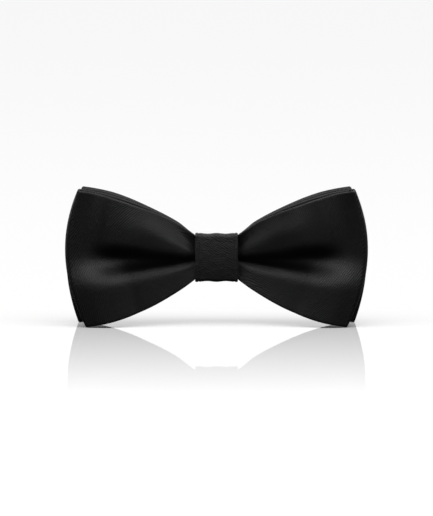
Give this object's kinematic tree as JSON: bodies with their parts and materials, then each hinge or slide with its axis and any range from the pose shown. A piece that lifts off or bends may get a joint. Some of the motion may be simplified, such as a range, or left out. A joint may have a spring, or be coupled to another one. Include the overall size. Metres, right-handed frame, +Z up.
{
  "type": "bow tie",
  "caption": "Pre-tied double bow tie in satin, with a wrapped knot and a spring clip behind it that grips the collar.",
  "frame": {"origin": "centre of the knot's flat rear face, which lies against the collar", "axes": "+X along the bow to the wearer's left, +Y out of the knot's rear face towards the collar, +Z up"},
  "size_m": [0.12, 0.0238, 0.0544],
  "materials": {
    "satin": "satin weave, soft sheen",
    "knot_satin": "satin weave, soft sheen",
    "interlining": "plain woven",
    "wadding": "matte felted",
    "thread": "twisted thread",
    "nickel_plate": "nickel plated, lightly scuffed",
    "steel_pin": "drawn",
    "spring_wire": "drawn spring wire"
  },
  "bodies": {
    "bow": {"front_bow_satin": "satin", "front_bow_interlining": "interlining", "front_bow_lap_stitches": "thread", "rear_bow_satin": "satin", "rear_bow_interlining": "interlining", "rear_bow_lap_stitches": "thread", "waist_thread": "thread", "knot_wrap": "knot_satin", "knot_interlining": "interlining", "knot_padding": "wadding", "knot_closing_stitches": "thread", "clip_base_plate": "nickel_plate", "left_hinge_pin": "steel_pin", "right_hinge_pin": "steel_pin", "left_clip_spring": "spring_wire", "right_clip_spring": "spring_wire"},
    "left_arm": {"left_clip_arm": "nickel_plate"},
    "right_arm": {"right_clip_arm": "nickel_plate"}
  },
  "joints": [
    {"name": "left_arm_hinge", "type": "hinge", "parent": "bow", "child": "left_arm", "pos_m": [-0.0105, 0.0006, 0], "axis": [0, 0, -1], "range_deg": [0, 90], "stiffness_Nm_per_rad": 0.008, "springref_deg": -68.75, "deforming": ["left_clip_spring"]},
    {"name": "right_arm_hinge", "type": "hinge", "parent": "bow", "child": "right_arm", "pos_m": [0.0105, 0.0006, 0], "axis": [0, 0, 1], "range_deg": [0, 90], "stiffness_Nm_per_rad": 0.008, "springref_deg": -68.75, "deforming": ["right_clip_spring"]}
  ]
}
